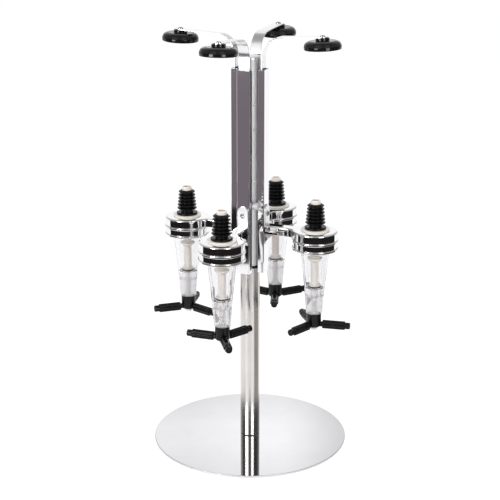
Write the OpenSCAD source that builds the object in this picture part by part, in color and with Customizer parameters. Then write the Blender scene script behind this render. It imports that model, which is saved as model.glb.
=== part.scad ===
// Rotary liquor dispenser: a round base and pole carry a turning column with four spirit measures.
// Millimetres, +Z up, origin on the table under the middle of the base.

/* [Stand] */
// Diameter of the base plate
base_d = 300; // [240:1:340]
// Thickness of the base plate
base_t = 3; // [2:0.1:6]
// Rounding of the base plate's upper edge
base_edge_r = 1; // [0.4:0.1:1.4]
// Thickness of the rubber sheet under the base plate
base_pad_t = 1.2; // [0.8:0.1:3]
// Distance from the rim of the base plate to the rubber sheet
base_pad_inset = 8; // [2:0.5:30]
// Outer diameter of the pole
pole_d = 30; // [28:0.5:36]
// Wall of the pole
pole_wall = 1.5; // [1:0.1:2.5]
// Length of the pole
pole_len = 277; // [220:1:360]
// Length of the tapped plug in the foot of the pole
plug_len = 24; // [18:1:60]
// Diameter of the screw that holds the pole on the base
base_screw_d = 6; // [4:0.5:8]
// Diameter of the countersunk head of that screw
base_screw_head_d = 11; // [9:0.5:14]
// Length of the thread of that screw in the plug
base_screw_grip = 14; // [8:1:18]
// Thickness of the bush flange that the head turns on
bush_flange_t = 4.5; // [3:0.25:8]
// Length of the bush inside the pole
bush_spigot_len = 36; // [20:1:80]
// Diameter of the mast that the head turns round
mast_d = 22; // [16:0.5:23]
// Wall of the mast
mast_wall = 2.5; // [2:0.1:5]

/* [Column] */
// Wall of the column tube
column_wall = 1.5; // [1:0.1:2.5]
// Length of each plastic bush in the column tube
column_bush_len = 18; // [10:1:40]
// Thickness of the cap on the column tube
column_cap_t = 3; // [2:0.25:6]
// Depth of the cap's spigot in the tube
column_cap_spigot = 4; // [2:0.25:8]
// Width of each channel
channel_w = 20.2; // [18:0.1:21]
// Depth of each channel, out from the tube
channel_depth = 10.4; // [8:0.1:13]
// Wall of the channels
channel_wall = 1; // [0.6:0.1:1.3]
// Rounding of the channels' long edges
channel_edge_r = 1.4; // [0.6:0.1:2]
// How far the channels hang below the top of the pole bush
channel_drop = 9.5; // [4:0.5:30]
// How far the tube stands above the channels
channel_setback = 15; // [6:0.5:30]
// Diameter of the retaining bolt's shank
bolt_d = 6; // [4:0.25:6.5]
// Diameter of the retaining bolt's head
bolt_head_d = 12; // [10:0.5:15]
// Height of the retaining bolt's head
bolt_head_h = 6.8; // [4:0.2:10]
// Height of the retaining bolt above the foot of the column tube
bolt_rise = 94.5; // [60:0.5:140]
// Depth of the groove in the mast that the bolt's tip runs in
groove_depth = 1.6; // [1:0.1:1.8]

/* [Brackets] */
// Radius of the circle that the four measures stand on
station_r = 104.5; // [95:0.5:140]
// Height of the bracket rings above the pole bush
bracket_rise = 51.5; // [40:0.5:70]
// Outer diameter of a bracket ring
ring_d = 67; // [56:0.5:68]
// Height of a bracket ring
ring_h = 13; // [8:0.5:18]
// Rounding of a bracket ring's upper edge
ring_edge_r = 2.5; // [1:0.25:4]
// Width of the neck and tab of a bracket
neck_w = 17; // [12:0.5:17.5]
// Radius of the fillets between neck and ring
neck_fillet_r = 14; // [6:0.5:20]
// Thickness of the tab that is screwed to the channel
tab_t = 2; // [1.5:0.1:3]
// Height of the tab above the ring
tab_h = 31; // [26:0.5:40]
// Height of the tab's screw above the ring
tab_screw_rise = 17; // [10:0.5:20]
// Depth of the root of the neck below the ring
root_drop = 15; // [6:0.5:24]
// How far the root of the neck reaches out from the channel
root_reach = 22; // [14:0.5:30]
// Diameter of the bracket screws
bracket_screw_d = 4; // [3:0.25:5]
// Diameter of the heads of the bracket screws
bracket_screw_head_d = 8.4; // [7:0.1:10]
// Height of the heads of the bracket screws
bracket_screw_head_h = 2.7; // [1.8:0.1:4]

/* [Measures] */
// Diameter over the lips of a retaining ring
collar_d = 69.6; // [64:0.2:74]
// Height of a retaining ring
collar_h = 16; // [12:0.5:22]
// Height of each lip of a retaining ring
collar_lip_h = 3.6; // [2:0.2:5]
// Depth of the waist between the lips
collar_waist = 1.6; // [0.6:0.1:3]
// Diameter of the chamber at the retaining ring
chamber_d = 43; // [41.4:0.2:46]
// Diameter of the chamber's flange
chamber_flange_d = 52; // [48:0.5:58]
// Thickness of the chamber's flange
chamber_flange_t = 3; // [2:0.25:6]
// Diameter of the chamber at the valve seat
chamber_seat_d = 30.6; // [28:0.1:34]
// Diameter of the chamber at its foot
chamber_foot_d = 24.6; // [24.2:0.1:27]
// Wall of the chamber's cone
chamber_wall = 2.4; // [1.4:0.1:3.4]
// Height of the cone from the valve seat to the retaining ring
cone_h = 60; // [50:0.5:80]
// Height from the foot of the chamber to the valve seat
skirt_h = 40; // [36:0.5:60]
// Thickness of the floor that holds the valve seat
seat_t = 12; // [6:0.5:14]
// Outer diameter of the cap inside the ring
cap_d = 39; // [34:0.2:39.6]
// Diameter of the cap's flange
cap_flange_d = 42.6; // [41:0.2:50]
// Thickness of the cap's flange
cap_flange_t = 2.2; // [1.4:0.1:4]
// Outer diameter of the inlet tube
inlet_d = 15; // [13:0.2:17]
// Bore of the inlet tube
inlet_bore_d = 10.5; // [7:0.2:12]
// How far the inlet tube stands above the stopper
inlet_rise = 5.5; // [3:0.5:20]
// Diameter of the stopper's flange
stopper_d = 32; // [29.4:0.2:34]
// Height of the stopper
stopper_h = 38; // [28:0.5:44]
// Height of the stopper's flange
stopper_flange_h = 3.6; // [2:0.2:6]
// Height of the plain neck between the stopper's flange and its fins
stopper_neck_h = 3.5; // [1:0.25:8]
// Diameter of the lowest fin of the stopper
fin_low_d = 30; // [24:0.2:31]
// Diameter of the highest fin of the stopper
fin_top_d = 25; // [21.4:0.2:28]
// Number of fins on the stopper
fin_count = 6; // [4:1:9]
// Diameter of the stopper between its fins
stopper_core_d = 19; // [17:0.2:21]

/* [Valves and levers] */
// How far a lever lifts its valve
valve_travel = 8; // [4:0.5:10]
// Diameter of the spindle where the lever turns on it
stem_d = 8; // [6.8:0.1:9]
// Diameter of the spindle in the valve seat
seat_stem_d = 6; // [4:0.1:7]
// Width of the gap round the spindle in the valve seat
seat_play = 1.2; // [0.8:0.1:2]
// Diameter of the spindle's tube in the chamber
spindle_d = 12; // [9:0.2:15]
// Diameter of the spindle's mushroom head
mushroom_d = 22; // [17:0.2:27]
// Height of the mushroom head
mushroom_h = 9; // [6:0.5:14]
// Diameter of the nozzle
nozzle_d = 10; // [9:0.1:14]
// Bore of the nozzle
nozzle_bore_d = 5.2; // [3:0.1:6]
// Length of the nozzle below the lever
nozzle_len = 4.5; // [3:0.25:12]
// Diameter of the collar that the valve spring pushes on
spring_collar_d = 12.6; // [11.4:0.1:15]
// Thickness of that collar
spring_collar_t = 2; // [1:0.1:4]
// Thickness of the plate over a seal
plug_t = 2; // [1:0.1:5]
// Thickness of a seal
seal_t = 3; // [2:0.1:4]
// Outer diameter of a seal
seal_d = 18.4; // [16:0.1:21]
// Diameter of the wire of a valve spring
valve_spring_wire = 0.8; // [0.5:0.05:1]
// Turns of a valve spring
valve_spring_turns = 6; // [4:1:9]
// Diameter of a lever's hub
hub_d = 21.8; // [18:0.1:22.2]
// Height of a lever's hub
hub_h = 21.4; // [16:0.2:28]
// Reach of a lever's arms from its axis
lever_reach = 55; // [44:0.5:64]
// Diameter over a lever's grips
grip_d = 13; // [10:0.2:15]
// Gap between a lever's hub and its grips
grip_gap = 2.2; // [1:0.1:5]
// Ribs on a grip
grip_ribs = 6; // [4:1:8]
// Diameter of the grooves along a grip
grip_groove_d = 2.9; // [1.6:0.1:3.4]
// Diameter of the tip of a lever's arm
tip_d = 10; // [6:0.2:12]
// Length of the tip of a lever's arm
tip_len = 7.5; // [3:0.5:14]
// Height of the arms' axis above the foot of the hub
grip_rise = 4; // [3:0.25:7]

/* [Arms] */
// Room for a bottle, from the stopper's seat to the middle of the pad
bottle_room = 264; // [220:1:320]
// How far an arm lifts
arm_travel = 85; // [40:1:100]
// Length of a strip that stays in its channel when the arm is lifted
strip_hold = 40; // [20:1:60]
// Straight stretch of a strip above its channel
strip_show = 17.5; // [6:0.5:50]
// Thickness of an arm's strip
strip_t = 1.6; // [1:0.1:2.6]
// Bend radius of an arm, at the middle of the strip
bend_r = 30; // [15:0.5:45]
// Slope of an arm's outer stretch, in degrees
arm_rise = 3; // [0:0.5:8]
// How far the pads stand out past the measures
pad_offset = 6; // [0:0.5:12]
// Diameter of a pad
pad_d = 54; // [40:0.5:70]
// Height of a pad's dome
pad_h = 12.5; // [8:0.25:18]
// Width of the rim round the hollow face of a pad
pad_rim_w = 5; // [3:0.25:10]
// Depth of the hollow face of a pad
pad_hollow = 1.6; // [0.6:0.1:3]
// Diameter of the boss on a pad
boss_d = 20; // [12:0.5:28]
// Height of the boss on a pad
boss_h = 4; // [2:0.25:10]
// Diameter of a pad screw
pad_screw_d = 4; // [3:0.25:6]
// Diameter of the head of a pad screw
pad_screw_head_d = 8; // [7:0.25:12]
// Height of the head of a pad screw
pad_screw_head_h = 2.4; // [1.4:0.1:4]
// Diameter of the wire of an arm spring
arm_spring_wire = 0.6; // [0.4:0.05:0.9]
// Turns of an arm spring
arm_spring_turns = 12; // [8:1:16]

/* [Hidden] */
$fn = 64;
// Cuts reach this far past the faces that they open
over = 1;
// Radial clearance of a running fit
run_fit = 0.05;
// Clearance of pieces pushed together by hand
push_gap = 0.02;
// Clearance of screws in plain holes
hole_gap = 0.1;
// Clearance between pieces that slide or turn past each other
slide_gap = 0.3;
// Radial room between the pole and the channels that hang round its top
pole_gap = 1;
// Room at either edge of a strip in its channel
strip_play = 0.7;
// Room round an arm spring in its channel
spring_gap = 0.2;
// Room between a lever's hub and the skirt that it rises into
skirt_gap = 0.45;
// Metal left between a countersunk head and the upper face of the base plate
countersink_land = 0.5;
// Small chamfers on moulded edges
chamfer = 1;

// Measures stand on the four sides, counted anticlockwise from -Y
stations = [1, 2, 3, 4];
function station_angle(k) = 90 * (k - 2);
// Turn of each lever on its spindle, from the outward direction
lever_turn = [34, 10, 80, 41];
// The corner between the first two stations, where the retaining bolt is
corner_angle = (station_angle(1) + station_angle(2)) / 2;

// Stand
base_top = base_pad_t + base_t;
pole_top = base_top + pole_len;
pole_bore = pole_d - 2 * pole_wall;
bush_top = pole_top + bush_flange_t;
bush_foot = pole_top - bush_spigot_len;
base_screw_head_h = base_t - countersink_land;

// Brackets and measures
ring_foot = bush_top + bracket_rise;
ring_top = ring_foot + ring_h;
tab_top = ring_top + tab_h;
tab_screw_z = ring_top + tab_screw_rise;
root_foot = ring_foot - root_drop;
ring_bore = cap_d + 2 * slide_gap;
collar_foot = ring_foot - collar_h;
seat_z = collar_foot - cone_h;
floor_z = seat_z - seat_t;
foot_z = seat_z - skirt_h;
cap_seat = ring_top + cap_flange_t;
cap_mouth_z = collar_foot - 3 * chamfer;
stopper_top = cap_seat + stopper_h;
inlet_top = stopper_top + inlet_rise;

// Valves and levers
hub_top = foot_z - 2 * slide_gap;
hub_foot = hub_top - hub_h;
hub_bore = stem_d + 2 * run_fit;
skirt_bore = hub_d + 2 * skirt_gap;
spring_collar_z = hub_top + slide_gap;
spring_foot = spring_collar_z + spring_collar_t;
nozzle_top = hub_foot - slide_gap;
nozzle_foot = nozzle_top - nozzle_len;
grip_z = hub_foot + grip_rise;
seat_bore = seat_stem_d + 2 * seat_play;
seal_foot = seat_z + slide_gap;
seal_top = seal_foot + seal_t;
mushroom_top = cap_mouth_z - valve_travel - slide_gap;
mushroom_foot = mushroom_top - mushroom_h;

// Column
column_d = pole_d + 2 * (pole_gap - push_gap);
tube_bore = column_d - 2 * column_wall;
tube_foot = bush_top + slide_gap;
bolt_z = tube_foot + bolt_rise;
channel_foot = bush_top - channel_drop;
channel_in_r = column_d / 2 + push_gap;
channel_out_r = channel_in_r + channel_depth;
channel_mid_r = channel_in_r + channel_depth / 2;
tab_out_r = channel_out_r + tab_t;

// Arms: the outer stretch is drawn level, and turned up about the middle of the bend
pad_r = station_r + pad_offset;
elbow_r = channel_mid_r + bend_r;
arm_reach = elbow_r + (pad_r - elbow_r + bend_r * sin(arm_rise)) / cos(arm_rise);
pad_drop = strip_t / 2 + boss_h + pad_h;
elbow_z = cap_seat + bottle_room + (pad_drop - bend_r) * cos(arm_rise) - (arm_reach - elbow_r) * sin(arm_rise);
strip_w = channel_w - 2 * channel_wall - 2 * strip_play;
strip_foot = elbow_z + bend_r - strip_t / 2;
strip_top = strip_foot + strip_t;
pad_foot = strip_foot - boss_h - pad_h;

// Height of the column, as the arms need
channel_top = elbow_z - strip_show;
tube_top = channel_top + channel_setback;
strip_tail = channel_top - strip_hold - arm_travel;
cap_foot = tube_top - column_cap_spigot;
mast_top = cap_foot - 2 * over;
bush_high_top = mast_top - 2 * over;

// Paths of the springs' wires
arm_spring_r = channel_depth / 2 - channel_wall - spring_gap - arm_spring_wire / 2;
arm_spring_path = coil_path(arm_spring_r, tab_screw_z + bracket_screw_d / 2 + slide_gap + arm_spring_wire / 2,
    strip_tail - slide_gap - arm_spring_wire / 2, arm_spring_turns);
valve_spring_r = stem_d / 2 + slide_gap + valve_spring_wire / 2;
valve_spring_path = coil_path(valve_spring_r, spring_foot + slide_gap + valve_spring_wire / 2,
    floor_z - slide_gap - valve_spring_wire / 2, valve_spring_turns);
echo(arm_spring_least_gap = least_gap(arm_spring_path, arm_spring_wire));
echo(valve_spring_least_gap = least_gap(valve_spring_path, valve_spring_wire));

// Turns a piece that is drawn on the +X side to its station
module at_station(k) {
    rotate([0, 0, station_angle(k)]) children();
}

// Turns and moves a piece that is drawn on the Z axis to the axis of its measure
module at_measure(k) {
    at_station(k) translate([station_r, 0, 0]) children();
}

module rod(d, z0, z1) {
    translate([0, 0, z0]) cylinder(d = d, h = z1 - z0);
}

module tube(d, bore, z0, z1) {
    difference() {
        rod(d, z0, z1);
        rod(bore, z0 - over, z1 + over);
    }
}

// A shank or hole along the radius on the +X side, from r0 to r1 at height z
module radial_rod(d, r0, r1, z) {
    translate([r0, 0, z]) rotate([0, 90, 0]) cylinder(d = d, h = r1 - r0);
}

// A turned disc whose upper edge is rounded
module round_disc(d, h, edge_r) {
    rotate_extrude($fn = 128) {
        square([d / 2 - edge_r, h]);
        square([d / 2, h - edge_r]);
        translate([d / 2 - edge_r, h - edge_r]) circle(r = edge_r);
    }
}

// A screw head: a short rim under a dome
module dome_head(d, h) {
    rim_h = h * 0.3;
    dome_h = h - rim_h;
    dome_r = (d * d / 4 + dome_h * dome_h) / (2 * dome_h);
    rotate_extrude() {
        square([d / 2, rim_h]);
        translate([0, rim_h]) intersection() {
            translate([0, dome_h - dome_r]) circle(r = dome_r);
            square([d / 2, dome_h]);
        }
    }
}

module rounded_rect(w, h, r) {
    square([w - 2 * r, h], center = true);
    square([w, h - 2 * r], center = true);
    for (x = [-1, 1], y = [-1, 1])
        translate([x * (w / 2 - r), y * (h / 2 - r)]) circle(r = r);
}

// Middle line of a wire wound round the Z axis, eight points to a turn
function coil_path(r, z0, z1, turns) = [for (i = [0:8 * turns])
    [r * cos(45 * i), r * sin(45 * i), z0 + (z1 - z0) * i / (8 * turns)]];

// Least distance between stretches of a wire that lie half a turn or more apart
function least_gap(path, wire) = min([for (i = [0:len(path) - 5], j = [i + 4:len(path) - 1])
    norm(path[i] - path[j])]) - wire;

// One unbroken round wire along a coil's path, with six sides
module coil(path, wire) {
    sides = 6;
    last = len(path) - 1;
    rise = path[8][2] - path[0][2];
    slope = atan2(rise, 2 * PI * norm([path[0][0], path[0][1]]));
    points = [for (i = [0:last]) let (
            out = [cos(45 * i), sin(45 * i), 0],
            up = [sin(45 * i) * sin(slope), -cos(45 * i) * sin(slope), cos(slope)])
        for (j = [0:sides - 1])
            path[i] + wire / 2 * (cos(360 * j / sides) * out + sin(360 * j / sides) * up)];
    walls = [for (i = [0:last - 1], j = [0:sides - 1]) let (
            a = i * sides + j,
            b = i * sides + (j + 1) % sides)
        each [[a, a + sides, b], [b, a + sides, b + sides]]];
    ends = [for (j = [1:sides - 2]) each [
        [0, j, j + 1],
        [last * sides, last * sides + j + 1, last * sides + j]]];
    polyhedron(points, concat(walls, ends));
}

// Stand

module base_plate() {
    color("gainsboro") difference() {
        translate([0, 0, base_pad_t]) round_disc(base_d, base_t, base_edge_r);
        rod(base_screw_d + 2 * hole_gap, 0, base_top + over);
        translate([0, 0, base_pad_t]) cylinder(d1 = base_screw_head_d + 2 * hole_gap,
            d2 = base_screw_d + 2 * hole_gap, h = base_screw_head_h);
    }
}

module base_pad() {
    color("dimgray") rod(base_d - 2 * base_pad_inset, 0, base_pad_t);
}

module pole() {
    color("silver") tube(pole_d, pole_bore, base_top, pole_top);
}

module pole_plug() {
    color("gray") tube(pole_bore, base_screw_d, base_top, base_top + plug_len);
}

module base_screw() {
    color("gray") {
        translate([0, 0, base_pad_t])
            cylinder(d1 = base_screw_head_d, d2 = base_screw_d, h = base_screw_head_h);
        rod(base_screw_d, base_pad_t, base_top + base_screw_grip);
    }
}

module pole_bush() {
    color("black") difference() {
        union() {
            rod(pole_d, pole_top, bush_top);
            rod(pole_bore, bush_foot, pole_top);
        }
        rod(mast_d, bush_foot - over, bush_top + over);
    }
}

// The groove leaves half a millimetre above and below the bolt's tip
module mast() {
    groove_w = bolt_d + 2 * 0.5;
    color("gray") difference() {
        tube(mast_d, mast_d - 2 * mast_wall, bush_foot, mast_top);
        tube(mast_d + over, mast_d - 2 * groove_depth, bolt_z - groove_w / 2, bolt_z + groove_w / 2);
    }
}

// Column

module column_tube() {
    color("lightgray") difference() {
        tube(column_d, tube_bore, tube_foot, tube_top);
        for (k = stations) at_station(k)
            radial_rod(bracket_screw_d + 2 * hole_gap, tube_bore / 4, column_d, tab_screw_z);
        rotate([0, 0, corner_angle]) radial_rod(bolt_d + 2 * hole_gap, tube_bore / 4, column_d, bolt_z);
    }
}

module column_bushes() {
    bore = mast_d + 2 * run_fit;
    color("ivory") {
        tube(tube_bore, bore, tube_foot, tube_foot + column_bush_len);
        tube(tube_bore, bore, bush_high_top - column_bush_len, bush_high_top);
    }
}

module column_cap() {
    color("gainsboro") {
        rod(tube_bore, cap_foot, tube_top);
        translate([0, 0, tube_top]) round_disc(column_d, column_cap_t, column_cap_t / 3);
    }
}

// The neck seats on the tube, and the head starts where the channels beside it leave room
module retaining_bolt() {
    tip_r = mast_d / 2 - groove_depth + slide_gap;
    neck_d = bolt_d + 1;
    head_r = channel_w / sqrt(2) + bolt_head_d / 2 + slide_gap;
    color("silver") rotate([0, 0, corner_angle]) {
        radial_rod(bolt_d, tip_r, head_r, bolt_z);
        radial_rod(neck_d, column_d / 2, head_r, bolt_z);
        translate([head_r, 0, bolt_z]) rotate([0, 90, 0]) dome_head(bolt_head_d, bolt_head_h);
    }
}

module channel(k) {
    inner_w = channel_w - 2 * channel_wall;
    inner_depth = channel_depth - 2 * channel_wall;
    inner_r = channel_edge_r * inner_depth / channel_depth / 2;
    color("lightsteelblue") at_station(k) difference() {
        translate([channel_mid_r, 0, channel_foot]) linear_extrude(channel_top - channel_foot)
            rounded_rect(channel_depth, channel_w, channel_edge_r);
        translate([channel_mid_r, 0, channel_foot - over])
            linear_extrude(channel_top - channel_foot + 2 * over)
                rounded_rect(inner_depth, inner_w, inner_r);
        radial_rod(bracket_screw_d + 2 * hole_gap, channel_in_r - over, channel_out_r + over, tab_screw_z);
    }
}

// Brackets

module bracket(k) {
    color("gainsboro") at_station(k) {
        bracket_tab();
        bracket_root();
        difference() {
            bracket_arm();
            translate([station_r, 0, 0]) rod(ring_bore, root_foot, ring_top + over);
        }
    }
}

// The upright tab with its round top and screw hole
module bracket_tab() {
    r = neck_w / 2;
    side_h = tab_top - root_foot - r;
    difference() {
        translate([channel_out_r, 0, root_foot]) rotate([90, 0, 90]) linear_extrude(tab_t) {
            translate([-r, 0]) square([neck_w, side_h]);
            translate([0, side_h]) circle(r = r);
        }
        radial_rod(bracket_screw_d + 2 * hole_gap, channel_out_r - over, tab_out_r + over, tab_screw_z);
    }
}

// The deep root under the neck, hollowed in a curve that runs out under the neck
module bracket_root() {
    curve_r = root_reach - tab_t;
    translate([channel_out_r, neck_w / 2, root_foot]) rotate([90, 0, 0]) linear_extrude(neck_w)
        difference() {
            square([root_reach, root_drop]);
            intersection() {
                translate([root_reach, root_drop - curve_r]) circle(r = curve_r, $fn = 96);
                translate([0, -over]) square([2 * root_reach, root_drop + over]);
            }
        }
}

// The level neck and its ring, blended by a fillet on either side
module bracket_arm() {
    fillet_y = neck_w / 2 + neck_fillet_r;
    fillet_x = station_r - sqrt(pow(ring_d / 2 + neck_fillet_r, 2) - pow(fillet_y, 2));
    translate([0, 0, ring_foot]) linear_extrude(ring_h) difference() {
        union() {
            translate([channel_out_r, -neck_w / 2]) square([station_r - channel_out_r, neck_w]);
            polygon([[fillet_x, -fillet_y], [fillet_x, fillet_y], [station_r, 0]]);
        }
        for (side = [-1, 1])
            translate([fillet_x, side * fillet_y]) circle(r = neck_fillet_r);
    }
    translate([station_r, 0, ring_foot]) round_disc(ring_d, ring_h, ring_edge_r);
}

// Cross-slotted screws that end between the column tube and the mast
module bracket_screws() {
    tip_r = (tube_bore + mast_d) / 4;
    slot_w = bracket_screw_head_d * 0.15;
    slot_l = bracket_screw_head_d * 0.6;
    slot_depth = bracket_screw_head_h * 0.55;
    color("silver") for (k = stations) at_station(k) {
        radial_rod(bracket_screw_d, tip_r, tab_out_r, tab_screw_z);
        difference() {
            translate([tab_out_r, 0, tab_screw_z]) rotate([0, 90, 0])
                dome_head(bracket_screw_head_d, bracket_screw_head_h);
            translate([tab_out_r + bracket_screw_head_h, 0, tab_screw_z]) {
                cube([2 * slot_depth, slot_w, slot_l], center = true);
                cube([2 * slot_depth, slot_l, slot_w], center = true);
            }
        }
    }
}

// Measures

// Turned rings with two lips, a waist between them and a seat for the chamber's flange
module retaining_rings() {
    r = collar_d / 2;
    lip_r = collar_lip_h / 2;
    color("gainsboro") for (k = stations) at_measure(k) difference() {
        translate([0, 0, collar_foot]) rotate_extrude($fn = 96) {
            square([r - collar_waist, collar_h]);
            for (z = [0, collar_h - collar_lip_h]) translate([0, z]) {
                square([r - lip_r, collar_lip_h]);
                translate([r - lip_r, lip_r]) circle(r = lip_r);
            }
        }
        rod(chamber_d + 2 * push_gap, collar_foot - over, ring_foot + over);
        rod(chamber_flange_d + 2 * push_gap, ring_foot - chamber_flange_t, ring_foot + over);
    }
}

// The clear measure: flange, cone, floor with the valve seat, and skirt
module chamber(k) {
    seat_r = chamber_seat_d / 2;
    color([0.85, 0.92, 0.95, 0.45]) at_measure(k) rotate_extrude() polygon([
        [seat_bore / 2, floor_z],
        [skirt_bore / 2, floor_z],
        [skirt_bore / 2, foot_z],
        [chamber_foot_d / 2, foot_z],
        [seat_r, seat_z],
        [chamber_d / 2, collar_foot],
        [chamber_d / 2, ring_foot - chamber_flange_t],
        [chamber_flange_d / 2, ring_foot - chamber_flange_t],
        [chamber_flange_d / 2, ring_foot],
        [ring_bore / 2, ring_foot],
        [ring_bore / 2, collar_foot],
        [seat_r - chamber_wall, seat_z],
        [seat_bore / 2, seat_z]
    ]);
}

// The caps close the chambers; the inlet tube takes the stopper, and the mouth is the upper valve seat
module caps() {
    mouth_r = mushroom_d / 2 - chamfer;
    mouth_h = 2 * (mouth_r - inlet_bore_d / 2);
    color("oldlace") for (k = stations) at_measure(k) rotate_extrude() polygon([
        [inlet_bore_d / 2, cap_mouth_z + mouth_h],
        [mouth_r, cap_mouth_z],
        [cap_d / 2 - chamfer, cap_mouth_z],
        [cap_d / 2, cap_mouth_z + 2 * chamfer],
        [cap_d / 2, ring_top],
        [cap_flange_d / 2, ring_top],
        [cap_flange_d / 2, cap_seat],
        [inlet_d / 2, cap_seat],
        [inlet_d / 2, inlet_top - chamfer],
        [inlet_d / 2 - chamfer, inlet_top],
        [inlet_bore_d / 2, inlet_top]
    ]);
}

// Finned rubber stoppers: pointed fins round the core, which grow towards the flange
module stoppers() {
    bore_r = inlet_d / 2 + push_gap;
    core_r = stopper_core_d / 2;
    flange_top = cap_seat + stopper_flange_h;
    fins_z = flange_top + stopper_neck_h;
    pitch = (stopper_top - fins_z) / fin_count;
    fins = [for (i = [0:fin_count - 1]) let (
            z = fins_z + i * pitch,
            r = (fin_low_d + (fin_top_d - fin_low_d) * i / (fin_count - 1)) / 2)
        each [[core_r, z + 0.08 * pitch], [r, z + 0.42 * pitch], [r, z + 0.58 * pitch],
            [core_r, z + 0.92 * pitch]]];
    color("black") for (k = stations) at_measure(k) rotate_extrude() polygon(concat(
        [[bore_r, stopper_top], [bore_r, cap_seat], [stopper_d / 2, cap_seat]],
        [[stopper_d / 2, flange_top - stopper_flange_h / 4]],
        [[stopper_d / 2 - stopper_flange_h / 4, flange_top], [core_r, flange_top]],
        fins,
        [[core_r, stopper_top]]
    ));
}

// Arms

// Turns up a piece that is drawn on a level arm, about the middle of the bend
module on_arm() {
    translate([elbow_r, 0, elbow_z]) rotate([0, -arm_rise, 0]) translate([-elbow_r, 0, -elbow_z]) children();
}

// A spring strip: upright in its channel, bent outwards, rising over its measure, with a round end
module arm_strip(k) {
    end_r = strip_w / 2;
    color("gainsboro") at_station(k) difference() {
        intersection() {
            translate([0, strip_w / 2, 0]) rotate([90, 0, 0]) linear_extrude(strip_w) {
                translate([channel_mid_r - strip_t / 2, strip_tail]) square([strip_t, elbow_z - strip_tail]);
                translate([elbow_r, elbow_z]) {
                    bend();
                    rotate(arm_rise) translate([0, bend_r - strip_t / 2])
                        square([arm_reach + end_r - elbow_r, strip_t]);
                }
            }
            on_arm() translate([0, 0, strip_tail - arm_reach])
                linear_extrude(strip_top - strip_tail + 2 * arm_reach) {
                    translate([-arm_reach, -strip_w]) square([2 * arm_reach, 2 * strip_w]);
                    translate([arm_reach, 0]) circle(r = end_r);
                }
        }
        on_arm() translate([arm_reach, 0, 0])
            rod(pad_screw_d + 2 * hole_gap, strip_foot - over, strip_top + over);
    }
}

// The bend of a strip, from upright to the arm's slope
module bend() {
    intersection() {
        difference() {
            circle(r = bend_r + strip_t / 2, $fn = 96);
            circle(r = bend_r - strip_t / 2, $fn = 96);
        }
        polygon(2 * bend_r * [[0, 0], [-sin(arm_rise), cos(arm_rise)], [-1, 1], [-1, 0]]);
    }
}

// A rubber dome with a hollow face, and a boss that holds it off the strip
module pad(k) {
    r = pad_d / 2;
    rim_r = pad_h * 0.3;
    shoulder_r = pad_h * 0.55;
    color("black") at_station(k) on_arm() translate([arm_reach, 0, 0]) difference() {
        union() {
            translate([0, 0, pad_foot]) rotate_extrude($fn = 96) {
                square([r - shoulder_r, pad_h]);
                square([r - rim_r, pad_h / 2]);
                translate([0, rim_r]) square([r, pad_h - shoulder_r - rim_r]);
                translate([r - rim_r, rim_r]) circle(r = rim_r);
                intersection() {
                    translate([r - shoulder_r, pad_h - shoulder_r]) circle(r = shoulder_r);
                    translate([0, rim_r]) square([r, pad_h]);
                }
            }
            rod(boss_d, pad_foot + pad_h / 2, strip_foot);
        }
        rod(pad_d - 2 * pad_rim_w, pad_foot - over, pad_foot + pad_hollow);
        rod(pad_screw_d, pad_foot + pad_h / 2, strip_foot + over);
    }
}

module pad_screw(k) {
    color("silver") at_station(k) on_arm() translate([arm_reach, 0, 0]) {
        rod(pad_screw_d, pad_foot + pad_h / 2, strip_top);
        translate([0, 0, strip_top]) dome_head(pad_screw_head_d, pad_screw_head_h);
    }
}

// The spring pulls the strip down: it runs from the bracket screw's shank to the strip's tail
module arm_spring(k) {
    color("slategray") at_station(k) translate([channel_mid_r, 0, 0])
        coil(arm_spring_path, arm_spring_wire);
}

// Valves

// Nozzle, stem for the lever, collar for the spring, plug for the seal, tube and mushroom head
module spindle(k) {
    port_d = nozzle_bore_d / 2;
    port_z = spring_foot + port_d;
    bore_top = port_z + port_d;
    neck_r = seal_d / 2 - seal_t - push_gap;
    plug_r = seal_d / 2 - chamfer / 2;
    color("oldlace") at_measure(k) difference() {
        rotate_extrude() polygon([
            [0, nozzle_foot],
            [nozzle_d / 2 - chamfer, nozzle_foot],
            [nozzle_d / 2, nozzle_foot + chamfer],
            [nozzle_d / 2, nozzle_top],
            [stem_d / 2, nozzle_top],
            [stem_d / 2, spring_collar_z],
            [spring_collar_d / 2, spring_collar_z],
            [spring_collar_d / 2, spring_foot],
            [stem_d / 2, spring_foot],
            [stem_d / 2, bore_top],
            [seat_stem_d / 2, bore_top + chamfer],
            [seat_stem_d / 2, seal_foot],
            [neck_r, seal_foot + seal_t / 4],
            [neck_r, seal_top],
            [plug_r, seal_top],
            [plug_r, seal_top + plug_t],
            [spindle_d / 2, seal_top + plug_t],
            [spindle_d / 2, mushroom_foot],
            [mushroom_d / 2, mushroom_foot + mushroom_h * 0.55],
            [mushroom_d / 2, mushroom_foot + mushroom_h * 0.75],
            [spindle_d / 2, mushroom_top],
            [0, mushroom_top]
        ]);
        rod(nozzle_bore_d, nozzle_foot - over, bore_top);
        for (a = [0, 90]) rotate([0, 0, a]) radial_rod(port_d, -stem_d, stem_d, port_z);
    }
}

module seal(k) {
    color("black") at_measure(k) translate([0, 0, seal_foot + seal_t / 2])
        rotate_extrude() translate([(seal_d - seal_t) / 2, 0]) circle(d = seal_t);
}

// The spring pushes the spindle's collar down from the floor under the valve seat
module valve_spring(k) {
    color("slategray") at_measure(k) coil(valve_spring_path, valve_spring_wire);
}

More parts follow.
